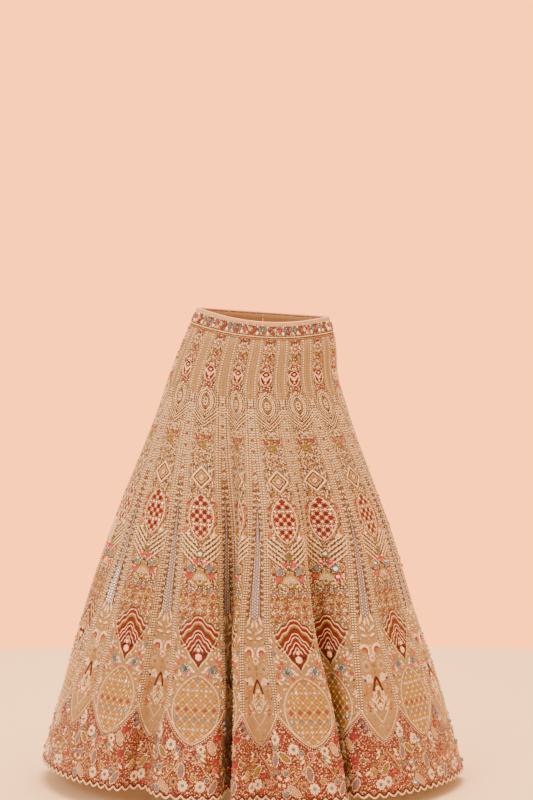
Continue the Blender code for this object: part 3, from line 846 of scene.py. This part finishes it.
    # Sprays at the two sides, between the lotus and the lattice oval
    flower(work, 0.031, 0.768, 0.0115, 8, ICE, OLIVE_GLASS)
    sew(STONE, [0.0475, 0.0405, 0.0215, 0.0545], [0.757, 0.747, 0.781, 0.777], 0.0088, PINK, height=0.003)
    sew(STONE, [0.036, 0.051, 0.059], [0.755, 0.767, 0.802], 0.0078, YELLOW, height=0.003)
    sew(PETAL, [0.018, 0.0425, 0.0535, 0.05, 0.046, 0.0615, 0.0125, 0.0555],
        [0.765, 0.781, 0.789, 0.745, 0.735, 0.817, 0.772, 0.7], (0.006, 0.013), CREAM,
        [0.9, -0.8, 0.5, 1.2, 0.2, -0.3, 1.3, 0.4])
    sew(STONE, 0.0545, 0.727, 0.009, ICE, height=0.003)
    sew(STONE, 0.057, 0.714, 0.0075, AMBER, height=0.003)
    flower(work, 0.0585, 0.791, 0.0085, 6, ZARI, BLUE)
    for side_v, finish in ((0.826, PEARL), (0.838, ZARI), (0.848, CREAM)):
        sew(ROUND, 0.0625, side_v, 0.0055, finish)

    # Large lattice oval down to the ogee's point
    def oval_half(v, inset=0):
        s = np.clip((v - 0.853) / 0.0725, -1, 1)
        return 0.0535 * (1 - s * s) ** 0.68 - inset

    oval = lens(0.853, 0.0535, 0.0725, 0.68, 60)
    patch(oval, GOLD_SATIN, 0.0003)
    lattice = (0.0205, 0.7915, 0.918, 0.06)
    jaali(work, lambda u, v: np.abs(u) < oval_half(v, 0.006), *lattice, (ICE, CLEAR, YELLOW, ROSE), YELLOW,
          STRAW, broad=0.13)
    crossings(work, lambda u, v: np.abs(u) < oval_half(v, 0.007), *lattice, 0.007, 0.0028)
    string(oval, 0.004, 0.004, CREAM)

    # Small stones and flowers are strewn over the ground, and knots and seed beads fill what is left
    free = (0, top), (0.06, 0.66), lambda u, v: u < gore_half(True, v) - 0.012
    fill(free, 0.0062, {CLEAR: 3, PINK: 1, ICE: 2, YELLOW: 2}, 140, STONE)
    fill(free, 0.0048, {CREAM: 4, ZARI: 3, ROSE: 1, BROWN: 2}, 2200, PETAL)
    fill(free, 0.0032, {CREAM: 2, ZARI: 3, PEARL: 3, BROWN: 2, RUST: 0.5, CLEAR: 2}, 4200)

    def beside_oval(u, v):
        return (u < gore_half(True, v) - 0.01) & (u > oval_half(v, -0.007) * (v > 0.79)) & (u > 0.018)

    lower = (0, 0.72), (0.075, 0.84), beside_oval
    fill(lower, 0.0048, {CREAM: 4, ZARI: 3, OLIVE: 1, PEARL: 2}, 260, PETAL)
    fill(lower, 0.0032, {CREAM: 4, ZARI: 3, PEARL: 3}, 260)
    return work


wide_work = wide_gore_needlework()
for number in range(PAIRS):
    position, drop, edge = gore_grid(number, True, WIDE_COLUMNS)
    worked_and_shaded = ease(0.004, 0.012, edge) * (0.92 - 0.75 * ease(0.62, 0.74, drop))
    hang_sheet(f"wide_kali_{number + 1:02d}", number, position, drop,
               worked_and_shaded, KALI_WALL, tan_net, wide_work)

# The narrow gores
# Sixteen slimmer gores between the wide ones, of the same net. Braid of stacked V stitches runs down beside a
# mauve satin band, and ends in a palmette over crescents, flowers and a rust chevron.
NARROW_COLUMNS = 8
PLAIN_END = 0.176  # drop at which the plain strip below the waistband ends


def narrow_gore_needlework():
    """One narrow gore's embroidery, which all sixteen carry."""
    work = Needlework(0.068, 0.95, 9)
    sew, string, couch, patch, fill = work.sew, work.string, work.couch, work.patch, work.fill
    edge_lines(work, False, PLAIN_END, 32)
    couch(seam_line(False, 0.0062, 0.24, BORDER_PEAK - 0.004), 0.0012, ZARI, step=0.012)

    # Braid below a plain strip: one column of V stitches at first, and two where the gore has widened
    couch([(0, BAND_HEIGHT + 0.004), (0, PLAIN_END)], 0.002, ZARI, both=False, step=0.012)
    v = np.arange(0.18, 0.655, 0.0062)
    half = gore_half(False, v)
    for k, finish in enumerate((RUST, CREAM, ROSE, CREAM)):
        row = np.arange(len(v)) % 4 == k
        one = row & (half < 0.0145)
        sew(PETAL, 0.0018, v[one], (0.003, 0.0066), finish if k else CREAM, 0.75)
        two = row & (half >= 0.0145)
        middle = half[two] - 0.0105
        for side, colour in ((1, finish), (-1, CREAM if k % 2 else BROWN)):
            sew(PETAL, middle + side * 0.0021, v[two], (0.0028, 0.007), colour, side * 0.75)

    # Mauve satin band with sequins on it, edged in brown
    v = np.arange(0.33, 0.6621, 0.008)
    half = gore_half(False, v) - 0.0158
    patch(np.column_stack([half, v])[half > 0.0006], MAUVE, 0.0005)
    couch(seam_line(False, 0.0155, 0.36, 0.66), 0.0022, BROWN, step=0.012)
    for start, reach, finish in ((0.365, 0, CLEAR), (0.42, 0.0032, ICE), (0.48, 0.0064, PEARL),
                                 (0.56, 0.0096, ICE), (0.61, 0.0124, CLEAR)):
        v = np.arange(start, 0.656, 0.0066)
        sew(SEED, reach, v, (0.0034, 0.0048), finish)

    # Palmette of padded leaves
    for u, at, lean, long in ((0.016, 0.662, -0.45, 0.027), (0.015, 0.684, 0.95, 0.022),
                              (0.0125, 0.699, 1.3, 0.02), (0.0055, 0.671, -0.15, 0.018)):
        sew(PETAL, u + 0.0006, at + 0.0012, (0.0094, long + 0.003), BROWN, lean, height=0.0008)
        sew(PETAL, u, at, (0.0078, long), CREAM, lean, height=0.003)
    sew(ROUND, 0, [0.684, 0.701], 0.0085, ZARI)

    # A pair of crescents, magenta inside cream
    bend = np.linspace(-2.7, 0.75, 18)
    for radius, width, finish in ((0.0122, 0.0076, CREAM), (0.0074, 0.0042, PINK_SATIN),
                                  (0.0032, 0.0044, ZARI)):
        line = np.column_stack([0.018 - radius * np.cos(bend), 0.732 + radius * np.sin(bend)])
        couch(line, width, finish, step=0.0035, height=0.002)

    # Flowers, marquise stones and drops
    flower(work, 0.0215, 0.764, 0.0105, 9, STRAW, ICE)
    string(ring(0.0215, 0.764, 0.0112), 0.0038, 0.0026, CREAM)
    sew(PETAL, [0.009, 0.028, 0.0055], [0.78, 0.779, 0.762], (0.0056, 0.0115), ZARI, [0.6, -0.5, 0.1])
    flower(work, 0, 0.748, 0.0095, 7, CREAM, AMBER)
    sew(PETAL, 0, [0.764, 0.777], (0.0066, 0.0125), OLIVE, height=0.0024)
    flower(work, 0.0205, 0.79, 0.0098, 8, CREAM, CLEAR)
    sew(STONE, 0.031, 0.793, 0.007, BLUE, height=0.003)
    sew(PETAL, [0.0125, 0.0335], [0.7965, 0.786], (0.0054, 0.011), CREAM, [-0.4, 0.7])
    sew(STONE, [0.03, 0.033], [0.808, 0.819], (0.007, 0.0095), AMBER, height=0.003)
    sew(ROUND, [0.035, 0.0365, 0.024], [0.83, 0.841, 0.8135], 0.0066, ZARI)
    sew(STONE, 0.03, 0.85, 0.0085, PINK, height=0.003)
    couch([(0, 0.7875), (0.0052, 0.7965), (0.0135, 0.818)], 0.007, WINE, step=0.004, height=0.0018)
    leaf = lens(0.829, 0.0145, 0.03, 0.8)
    patch(leaf, GOLD_SATIN, 0.0003)
    couch(leaf[8:], 0.003, CREAM, step=0.005)
    for u, v, finish in ((0.0035, 0.812, PEARL), (0.0075, 0.821, ROSE), (0.0085, 0.83, PEARL),
                         (0.007, 0.839, ROSE), (0.0035, 0.848, PEARL)):
        sew(PETAL, u, v, (0.0052, 0.0115), CREAM, -0.6, height=0.0022)
        sew(ROUND, 0, v + 0.003, 0.004, finish)
    sew(PETAL, [0.019, 0.0235, 0.0165], [0.836, 0.848, 0.857], (0.0056, 0.0125), CREAM, [0.5, 0.9, 1.2])
    string([(0, 0.886), (0.01, 0.874), (0.021, 0.86)], 0.0048, 0.0038, CREAM, shape=ROUND)
    string([(0, 0.877), (0.0075, 0.868)], 0.0046, 0.0034, ZARI)

    free = (0, 0.66), (0.05, 0.86), lambda u, v: u < gore_half(False, v) - 0.009
    fill(free, 0.0044, {CREAM: 3, ZARI: 3, BROWN: 1}, 180, PETAL)
    fill(free, 0.0032, {CREAM: 3, ZARI: 3, PEARL: 2}, 220)
    return work


narrow_work = narrow_gore_needlework()
for number in range(PAIRS):
    position, drop, edge = gore_grid(number + 0.5, False, NARROW_COLUMNS)
    worked_and_shaded = ease(0.003, 0.009, edge) * (0.75 - 0.68 * ease(0.62, 0.70, drop))
    hang_sheet(f"narrow_kali_{number + 1:02d}", number + 0.5, position,
               drop, worked_and_shaded, KALI_WALL, tan_net, narrow_work)

# The red border
# Sixteen lengths of rust net, set in under the gores along the ogee line and crowded with flowers, leaves and
# stones. The hem is cut in scallops and bound with a cream cord.
BORDER_WALL = 0.0026
BORDER_COLUMNS = ((True, 7), (False, 5))  # scallops below a wide and below a narrow gore
SCALLOP_STEPS = 6
BORDER_ROWS = 8
BORDER_MIDDLE = 0.215  # the middle of a length, in pairs from the middle of its wide gore
# The rust net's third colour is painted shade, the net darkened between close beads
red_net = worked_net(
    "embroidered_rust_net", "98240F", "6A150C", "5A1410",
    [(0.0, "98240F"), (0.14, "5A1410"), (0.26, THREAD_CREAM), (0.50, "B8905F"), (0.72, "9A5A46"),
     (0.84, "A8862E"), (0.93, "86747C")],
)


def border_share(offset, drop):
    """How near a place is to the middle of the gore above it, from 0 at its seam to 1."""
    share = smooth_read(CUTS, "wide_share", drop)
    wide = 1 - np.abs(offset) / (share / 2)
    narrow = 1 - np.abs(offset - 0.5) / ((1 - share) / 2)
    return np.clip(np.where(offset < share / 2, wide, narrow), 0.0, 1.0)


def border_ends(drop):
    """The two ends of a length at a drop, in pairs from the middle of its wide gore."""
    share = smooth_read(CUTS, "wide_share", drop)
    return -share / 2, 1 - share / 2


def border_needlework():
    """One border length's embroidery, which all sixteen carry."""
    work = Needlework(0.17, 1.05, 12, mirrored=False)
    sew, string, couch, fill, free_places = work.sew, work.string, work.couch, work.fill, work.free_places
    share = np.linspace(0, 1.0, 40)

    # Cords along the ogee line, and bead lines beside the joins
    for wide, middle in ((True, 0), (False, 0.5)):
        for side in (1, -1):
            reach = gore_half(wide, ogee(share)) * (1 - share) * side
            for inset, finish in ((0.0022, STRAW), (0.0058, WINE)):
                at = ogee(share) + inset
                u = reach + (middle - BORDER_MIDDLE) * cloth.pair(at)
                couch(np.column_stack([u, at]), 0.0026, finish, step=0.005)
                string(np.column_stack([u, at + 0.0034]), 0.005, 0.0032, PEARL)

    # Scalloped hem cord
    hem = []
    share = smooth_read(CUTS, "wide_share", LENGTH)
    for wide, scallops in BORDER_COLUMNS:
        first, last = (-share / 2, share / 2) if wide else (share / 2, 1 - share / 2)
        lobes = np.linspace(0, scallops, scallops * 8 + 1)
        offset = first + (last - first) * lobes / scallops
        hem.append(np.column_stack([(offset - BORDER_MIDDLE) * cloth.pair(LENGTH),
                                    LENGTH + SCALLOP_DEPTH * np.abs(np.sin(lobes * math.pi))]))
    hem = np.concatenate([hem[0], hem[1][1:]])
    couch(hem - (0, 0.0016), 0.0036, CREAM, step=0.0036, height=0.0022)
    couch(hem - (0, 0.0064), 0.003, WINE, step=0.0048)

    def inside(u, v, margin=0.0045):
        offset = u / cloth.pair(v) + BORDER_MIDDLE
        near, far = border_ends(v)
        room = margin / cloth.pair(v)
        below = v > ogee(border_share(offset, v)) + margin + 0.003
        return below & (offset > near + room) & (offset < far - room)

    corners = (-0.16, BORDER_PEAK), (0.16, LENGTH + 0.004)
    ground = (*corners, inside)
    well_inside = (*corners, lambda u, v: inside(u, v, 0.01) & (v < LENGTH - 0.006))

    # Looped vines of double cord, with padded leaves along them
    for middle, reach, start, fall in ((0, 0.058, 0.944, 0.052), (0.5, 0.046, 0.944, 0.05)):
        for side in (1, -1):
            s = np.linspace(0, 1.0, 30)
            at = start + fall * s + 0.013 * np.sin(s * 10.0)
            u = (middle - BORDER_MIDDLE) * cloth.pair(at) + side * (reach * s**0.8 + 0.01 * np.sin(s * 9.0))
            line = np.column_stack([u, at])
            couch(line, 0.0022, ZARI, step=0.004, height=0.0014)
            string(line + (0, 0.0024), 0.0046, 0.0032, CREAM)
            for k in (4, 9, 14, 19, 24):
                turn = 0.9 * side * (1 if k % 2 else -1)
                u, v = line[k, 0] + 0.008 * side, line[k, 1] - 0.008
                sew(PETAL, u, v, (0.0086, 0.0175), BROWN, turn, height=0.001)
                sew(PETAL, u, v, (0.0072, 0.016), (CREAM, OLIVE)[k % 2], turn, height=0.0032)

    # Large leaves outlined with pearls, flowers, small padded leaves, stones, and at last petals and beads
    turn = np.linspace(0, 2 * math.pi, 25)
    for k, (u, v) in enumerate(free_places(well_inside, 0.019, 2500, 7)):
        lean = work.chance.uniform(-0.9, 0.9)
        sew(PETAL, u, v, (0.0135, 0.029), (MAUVE, STRAW, OLIVE)[k % 3], lean, height=0.0034)
        x, y = 0.0078 * np.cos(turn), 0.016 * np.sin(turn)
        outline = np.column_stack([x * math.cos(lean) - y * math.sin(lean),
                                   x * math.sin(lean) + y * math.cos(lean)])
        string(outline + (u, v), 0.0038, 0.0034, PEARL)
    for radius, petals, finish, heart in (
        (0.0125, 9, CREAM, ICE), (0.011, 7, ROSE, PINK), (0.0105, 8, ZARI, BLUE),
        (0.0105, 8, CREAM, OLIVE_GLASS), (0.009, 6, ROSE, CLEAR), (0.0088, 6, MAUVE, YELLOW),
    ):
        for u, v in free_places(well_inside, radius * 1.6, 2500, 6):
            flower(work, u, v, radius, petals, finish, heart)
    for size in (0.0138, 0.0108, 0.0086):
        for finish, most in ((ICE, 6), (PINK, 4), (YELLOW, 5), (CLEAR, 7), (AMBER, 4), (OLIVE_GLASS, 5)):
            places = free_places(well_inside, size, 2500, most)
            sew(STONE, places[:, 0], places[:, 1], size, finish)
            for u, v in places[: most // 2]:
                string(ring(u, v, size * 0.62), 0.0036, 0.003, CREAM)
    for size, finish, most in (((0.009, 0.0185), CREAM, 10), ((0.0078, 0.016), OLIVE, 8),
                               ((0.008, 0.0155), MAUVE, 8), ((0.0082, 0.015), CREAM, 8)):
        u, v = free_places(well_inside, 0.009, 3500, most).T
        turn = work.chance.uniform(-0.9, 0.9, len(u))
        sew(PETAL, u, v, (size[0] + 0.0018, size[1] + 0.0018), WINE, turn, height=0.001)
        sew(PETAL, u, v, size, finish, turn, height=0.0034)
    fill(ground, 0.0082, {CREAM: 5, STRAW: 4, ROSE: 2, OLIVE: 2, YELLOW: 2, MAUVE: 2}, 6000, PETAL)
    fill(ground, 0.0048, {PEARL: 6, CREAM: 4, STRAW: 3, WINE: 3}, 2500)
    return work


border_work = border_needlework()
for number in range(PAIRS):
    offset, lobe = [], []
    for wide, scallops in BORDER_COLUMNS:
        steps = np.linspace(0, scallops, scallops * SCALLOP_STEPS + 1)[(0 if wide else 1):]
        offset.append(np.stack([np.full(len(steps), float(wide)), steps / scallops]))
        lobe.append(SCALLOP_DEPTH * np.abs(np.sin(steps * math.pi)))
    (wide, across), lobe = np.concatenate(offset, axis=1), np.concatenate(lobe)
    start = ogee(1 - np.abs(2 * across - 1)) + OGEE_GAP / 2
    down = np.linspace(0.0, 1.0, BORDER_ROWS + 1)[:, None]
    drop = start + (LENGTH + lobe - start) * down
    share = smooth_read(CUTS, "wide_share", drop)
    offset = np.where(wide > 0.5, (across - 0.5) * share, 0.5 + (across - 0.5) * (1 - share))
    trim = SEAM_GAP / 2 / cloth.pair(drop)
    offset[:, 0] += trim[:, 0]
    offset[:, -1] -= trim[:, -1]
    hang_sheet(f"hem_border_{number + 1:02d}",
               number + BORDER_MIDDLE, number + offset, drop, np.full(offset.shape, 0.8), BORDER_WALL, red_net,
               border_work)

# The waistband
# One straight strip of backed net with a lattice of lozenge stones between gold cords, closed at the centre
# back over a concealed placket.
BAND_WALL = 0.0032
BAND_COLUMNS, BAND_ROWS = 192, 4
ring_at_band = cloth.points[int(BAND_HEIGHT / 2 / cloth.drops[1])]
BACK_SEAM = cloth.position[int(np.argmax(ring_at_band[:, 1]))]
BAND_HALF = PAIRS * float(cloth.pair(BAND_HEIGHT / 2)) / 2


def band_needlework():
    """The waistband's embroidery from end to end."""
    work = Needlework(BAND_HALF + 0.01, 0.06)
    ends = BAND_HALF - 0.002
    for v, width, finish in ((0.001, 0.0024, CREAM), (0.0066, 0.0018, BROWN), (0.0282, 0.002, BROWN),
                             (0.0305, 0.0026, CREAM), (0.0331, 0.0018, BROWN), (0.0354, 0.0026, ZARI)):
        work.couch([(0, v), (ends, v)], width, finish, step=0.007)
    work.string([(0.0022, 0.004), (ends, 0.004)], 0.0052, 0.0042, CREAM)
    # Upright lozenge stones, each in a brown ring, over a half row of pearl ones
    pitch = 0.0118
    for row, v, size in ((0, 0.0145, (0.0096, 0.0158)), (1, 0.0224, (0.009, 0.0112)),
                         (1, 0.008, (0.007, 0.0054))):
        u = np.arange(pitch / 2 if row == 0 else pitch, ends, pitch)
        work.sew(DIAMOND, u, v, (size[0] + 0.0026, size[1] + 0.003), BROWN, height=0.0008)
        colours = (PEARL, ROSE, CLEAR) if row else (ICE, ROSE, CLEAR, PINK, ICE, MAUVE)
        for k, finish in enumerate(colours):
            work.sew(DIAMOND, u[k :: len(colours)], v, size, finish, height=0.0026)
    work.string([(0, 0.0268), (ends, 0.0268)], 0.0059, 0.0034, ZARI)
    return work


across = np.tile(np.linspace(0.0, 1.0, BAND_COLUMNS + 1), (BAND_ROWS + 1, 1))
drop = np.tile(np.linspace(0.0, BAND_HEIGHT - EDGE_GAP / 2, BAND_ROWS + 1)[:, None], (1, BAND_COLUMNS + 1))
end_gap = SEAM_GAP / cloth.pair(BAND_HEIGHT / 2)
position = BACK_SEAM + end_gap + across * (PAIRS - 2 * end_gap)
band_middle = BACK_SEAM + PAIRS / 2
waistband = hang("waistband_cloth", position, drop, band_middle, np.full(drop.shape, 0.85), BAND_WALL, tan_net)
band_sewn = band_needlework().drape("waistband_needlework", band_middle, 2 * BAND_HALF / PAIRS)
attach(waistband, "root")
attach(band_sewn, "root")
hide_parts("waistband")

# The waist piping
# A narrow cord rolled in peach silk satin, sewn along the band's upper edge all round the waist.
PIPING_RADIUS = 0.0027
PIPING_POINTS = 144
PIPING_PEACH = "E9B08E"
piping_silk = start_material("rolled_silk_peach", PIPING_PEACH, 0.38, Sheen_Weight=0.4)
bpy.ops.object.select_all(action="DESELECT")
curve = bpy.data.curves.new("waist_piping_cord", "CURVE")
curve.dimensions = "3D"
curve.bevel_depth = PIPING_RADIUS
curve.bevel_resolution = 2
line = curve.splines.new("POLY")
line.points.add(PIPING_POINTS - 1)
line.use_cyclic_u = True
around = np.arange(PIPING_POINTS) * PAIRS / PIPING_POINTS
places = cloth.place(around, np.zeros(PIPING_POINTS), np.full(PIPING_POINTS, -BAND_WALL / 2))
for point, place in zip(line.points, places):
    point.co = (*place[:2], place[2] + PIPING_RADIUS + SEAM_GAP, 1.0)
piping = put("waist_piping_cord", curve)
bpy.context.view_layer.objects.active = piping
piping.select_set(True)
bpy.ops.object.convert(target="MESH")
piping.data.materials.append(piping_silk)
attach(piping, "root")
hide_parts("waist_piping")

# Camera, light and floor
# The view is the photograph's: level with the waist and tipped a little down, through a long lens. Soft light
# comes from all round and from above, with a key from the left, against an even peach backdrop.
CAMERA_PLACE = (0.008, -5.0, -0.0105)
CAMERA_TILT = 2.18  # degrees below level
CAMERA_LENS = 96.75
FLOOR_LEVEL = -1.077
FLOOR_RADIUS = 3.4
FLOOR_PALE = "FFEAD4"
ROOM_LIGHT = ("F2B680", 1.8)
BACKDROP_LIGHT = ("FF964E", 4.8)

camera_data = bpy.data.cameras.new("camera")
camera_data.lens = CAMERA_LENS
camera_data.clip_end = 100.0
camera = put("camera", camera_data)
camera.location = CAMERA_PLACE
camera.rotation_euler = (math.radians(90 - CAMERA_TILT), 0.0, 0.0)
bpy.context.scene.camera = camera

bpy.ops.object.select_all(action="DESELECT")
bpy.ops.mesh.primitive_circle_add(vertices=96, radius=FLOOR_RADIUS, fill_type="NGON",
                                  location=(0, -1.4, FLOOR_LEVEL))
floor = bpy.context.object
floor.name = "floor"
floor.data.materials.append(start_material("floor_paper_pale", FLOOR_PALE, 0.8))

# The room lights the cloth softly, and what is seen behind it is the brighter backdrop.
world = bpy.data.worlds.new("studio")
bpy.context.scene.world = world
world.use_nodes = True
studio = world.node_tree
room = studio.nodes["Background"]
backdrop = add_node(studio, "ShaderNodeBackground")
for background, (colour, strength) in ((room, ROOM_LIGHT), (backdrop, BACKDROP_LIGHT)):
    background.inputs["Color"].default_value = linear(colour)
    background.inputs["Strength"].default_value = strength
seen = add_node(studio, "ShaderNodeLightPath").outputs["Is Camera Ray"]
mixed = add_node(studio, "ShaderNodeMixShader", {"Fac": seen, 1: room.outputs[0], 2: backdrop.outputs[0]})
studio.links.new(mixed.outputs["Shader"], studio.nodes["World Output"].inputs["Surface"])

Lamp = namedtuple("Lamp", "name place aim size watts colour")
for lamp in (
    Lamp("key_softbox", (-2.4, -4.2, 1.6), (0, 0, -0.5), 1.6, 92, "FFF4E6"),
    Lamp("fill_softbox", (2.8, -3.6, 0.9), (0, 0, -0.5), 2.0, 10, "FFF0E0"),
    Lamp("back_softbox", (0.6, 3.4, 2.2), (0, 0, -0.5), 2.0, 30, "FFF6EC"),
    Lamp("overhead_softbox", (0, 0.6, 3.6), (0, 0.6, -1.05), 3.4, 470, "FFD0A0"),
):
    light_data = bpy.data.lights.new(lamp.name, "AREA")
    light_data.size = lamp.size
    light_data.energy = lamp.watts
    light_data.color = linear(lamp.colour)[:3]
    light = put(lamp.name, light_data)
    light.location = lamp.place
    light.rotation_euler = (Vector(lamp.aim) - Vector(lamp.place)).to_track_quat("-Z", "Y").to_euler()
